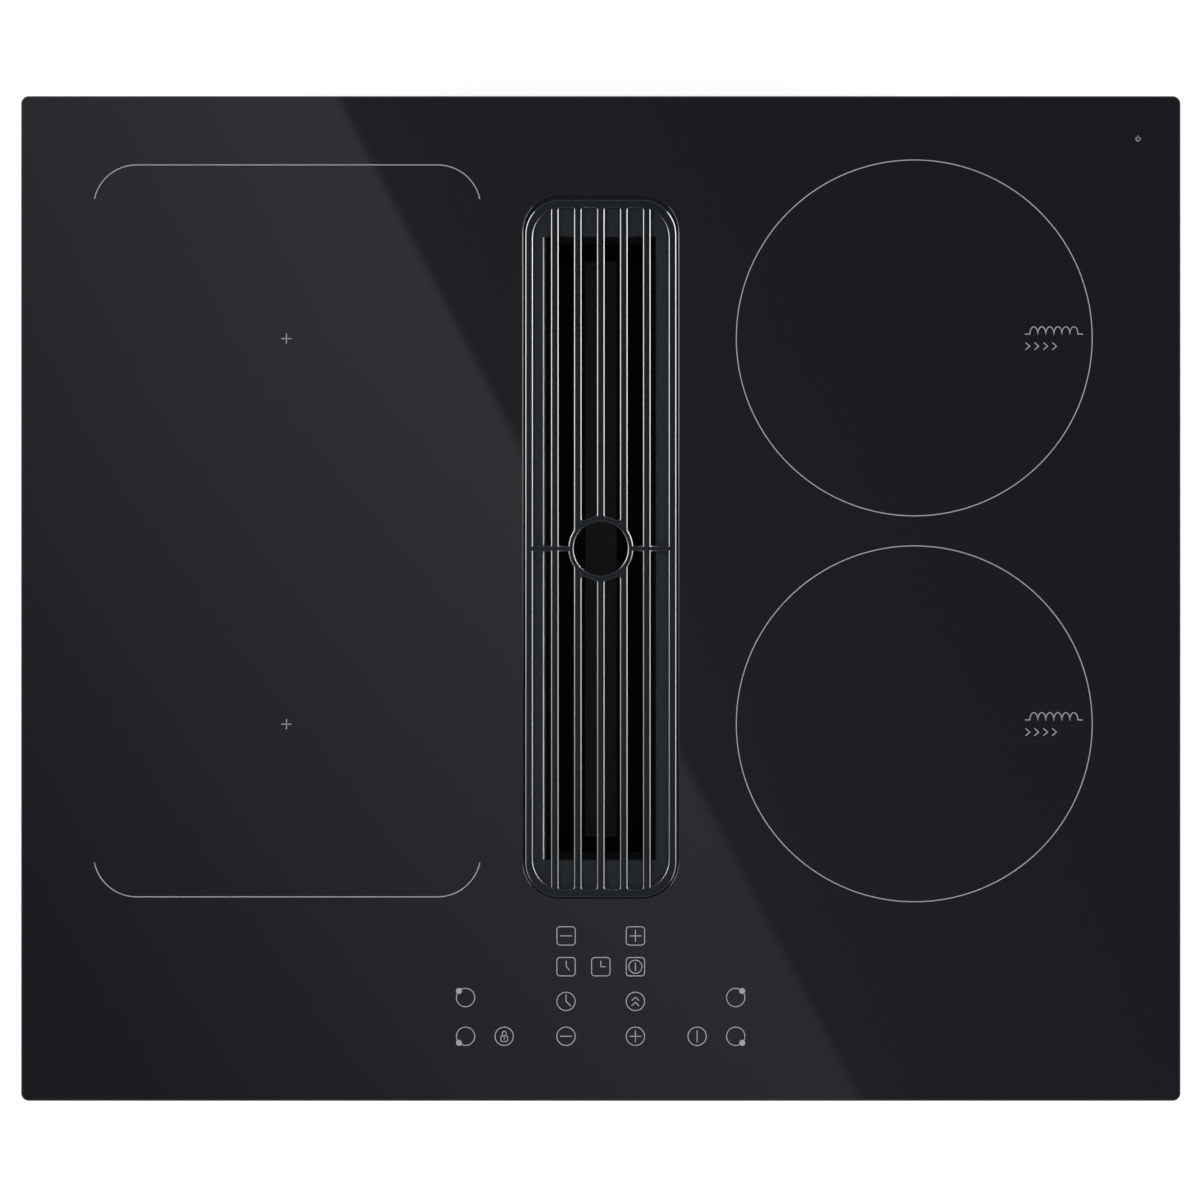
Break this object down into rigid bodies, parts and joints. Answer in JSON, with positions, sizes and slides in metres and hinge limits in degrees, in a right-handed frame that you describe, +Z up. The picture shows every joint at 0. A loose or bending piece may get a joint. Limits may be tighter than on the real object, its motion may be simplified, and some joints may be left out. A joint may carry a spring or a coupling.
{
  "type": "downdraft induction cooktop",
  "caption": "Built-in black glass induction cooktop with a central slotted grille over a grease filter, touch controls, and a lower blower housing that draws fumes down and out at the rear.",
  "frame": {"origin": "middle of the glass panel in plan, at the worktop's upper face, which is the underside of the panel's foam seal", "axes": "+Z up out of the worktop, +X to the right and +Y to the rear as the user stands in front at -Y"},
  "size_m": [0.6, 0.52, 0.206],
  "materials": {
    "black_glass": "glossy black glass ceramic",
    "seal_foam": "closed-cell foam",
    "grille_coat": "satin dark grey-green enamel",
    "trim_plastic": "satin dark grey-green",
    "silicone": "soft silicone",
    "filter_steel": "black-coated sheet steel",
    "filter_mesh": "black-coated steel, sheet and expanded mesh in layers",
    "black_plastic": "fine grained moulding",
    "galvanised": "galvanised sheet steel",
    "housing_plastic": "fine grained moulding",
    "tank_plastic": "smooth moulding",
    "impeller_plastic": "glass-filled moulding",
    "motor_metal": "die cast",
    "copper": "enamelled copper",
    "laminated_steel": "laminated steel",
    "bright_steel": "ground steel",
    "ferrite": "sintered ferrite",
    "mica": "pressed mica",
    "coil_plastic": "heat-resistant moulding",
    "plate_aluminium": "mill finish sheet",
    "zinc_steel": "zinc-plated steel",
    "board_green": "solder mask",
    "capacitor_sleeve": "shrink sleeve",
    "choke_core": "coated core",
    "fan_plastic": "moulded",
    "terminal_white": "moulded"
  },
  "bodies": {
    "cooktop": {"casing_tray": "galvanised", "glass_top": "black_glass", "perimeter_seal": "seal_foam", "recess_trim": "trim_plastic", "air_well": "black_plastic", "plenum_seal": "seal_foam", "lower_housing": "housing_plastic", "scroll_lower": "black_plastic", "scroll_upper": "black_plastic", "blower_grommets": "silicone", "motor_case": "motor_metal", "motor_stator": "copper", "motor_bearings": "bright_steel", "outlet_collar": "black_plastic", "coil_plate_left": "plate_aluminium", "coil_plate_right": "plate_aluminium", "coil_former_rear_left": "coil_plastic", "coil_former_front_left": "coil_plastic", "coil_former_rear_right": "coil_plastic", "coil_former_front_right": "coil_plastic", "coil_winding_rear_left": "copper", "coil_winding_front_left": "copper", "coil_winding_rear_right": "copper", "coil_winding_front_right": "copper", "ferrite_bars": "ferrite", "mica_sheets": "mica", "coil_sensors": "silicone", "plate_pillars": "zinc_steel", "power_board_left": "board_green", "power_board_right": "board_green", "heatsink_left": "plate_aluminium", "heatsink_right": "plate_aluminium", "capacitors": "capacitor_sleeve", "filter_chokes": "choke_core", "fan_frame_left": "fan_plastic", "fan_frame_right": "fan_plastic", "touch_carrier": "black_plastic", "touch_board": "board_green", "touch_springs": "zinc_steel", "terminal_box": "black_plastic", "terminal_block": "terminal_white", "clamp_pivots": "zinc_steel"},
    "grille": {"grille": "grille_coat", "grille_feet": "silicone"},
    "filter": {"filter_frame": "filter_mesh", "filter_mesh_left": "filter_mesh", "filter_mesh_right": "filter_mesh", "filter_tray": "filter_steel"},
    "tank": {"overflow_tank": "tank_plastic"},
    "impeller": {"impeller": "impeller_plastic", "motor_rotor": "laminated_steel", "motor_shaft": "bright_steel"},
    "fan_left": {"fan_rotor_left": "fan_plastic"},
    "fan_right": {"fan_rotor_right": "fan_plastic"},
    "damper": {"damper_flap": "tank_plastic"},
    "cover": {"terminal_cover": "black_plastic"},
    "clamp_front_left": {"clamp_front_left": "zinc_steel"},
    "clamp_rear_left": {"clamp_rear_left": "zinc_steel"},
    "clamp_front_right": {"clamp_front_right": "zinc_steel"},
    "clamp_rear_right": {"clamp_rear_right": "zinc_steel"}
  },
  "joints": [
    {"name": "grille_lift", "type": "slide", "parent": "cooktop", "child": "grille", "axis": [0, 0, 1], "range_m": [0, 0.16]},
    {"name": "filter_lift", "type": "slide", "parent": "cooktop", "child": "filter", "axis": [0, 0, 1], "range_m": [0, 0.08]},
    {"name": "tank_slide", "type": "slide", "parent": "cooktop", "child": "tank", "axis": [0, -1, 0], "range_m": [0, 0.105]},
    {"name": "impeller_spin", "type": "hinge", "parent": "cooktop", "child": "impeller", "pos_m": [-0.02, 0.08, -0.15], "axis": [0, 0, 1], "continuous": true},
    {"name": "fan_left_spin", "type": "hinge", "parent": "cooktop", "child": "fan_left", "pos_m": [-0.19, -0.186, -0.05], "axis": [0, 0, 1], "continuous": true},
    {"name": "fan_right_spin", "type": "hinge", "parent": "cooktop", "child": "fan_right", "pos_m": [0.19, -0.186, -0.05], "axis": [0, 0, 1], "continuous": true},
    {"name": "damper_swing", "type": "hinge", "parent": "cooktop", "child": "damper", "pos_m": [0.0695, 0.223, -0.1251], "axis": [1, 0, 0], "range_deg": [0, 70]},
    {"name": "terminal_cover_swing", "type": "hinge", "parent": "cooktop", "child": "cover", "pos_m": [-0.21, 0.1902, -0.0612], "axis": [-1, 0, 0], "range_deg": [0, 80]},
    {"name": "clamp_front_left_swing", "type": "hinge", "parent": "cooktop", "child": "clamp_front_left", "pos_m": [-0.262, -0.13, -0.059], "axis": [0, 0, -1], "range_deg": [0, 90]},
    {"name": "clamp_rear_left_swing", "type": "hinge", "parent": "cooktop", "child": "clamp_rear_left", "pos_m": [-0.262, 0.13, -0.059], "axis": [0, 0, -1], "range_deg": [0, 90]},
    {"name": "clamp_front_right_swing", "type": "hinge", "parent": "cooktop", "child": "clamp_front_right", "pos_m": [0.262, -0.13, -0.059], "axis": [0, 0, 1], "range_deg": [0, 90]},
    {"name": "clamp_rear_right_swing", "type": "hinge", "parent": "cooktop", "child": "clamp_rear_right", "pos_m": [0.262, 0.13, -0.059], "axis": [0, 0, 1], "range_deg": [0, 90]}
  ],
  "couplings": [
    {"joint": "filter_lift", "follows": "grille_lift", "ratio": 0.5}
  ]
}
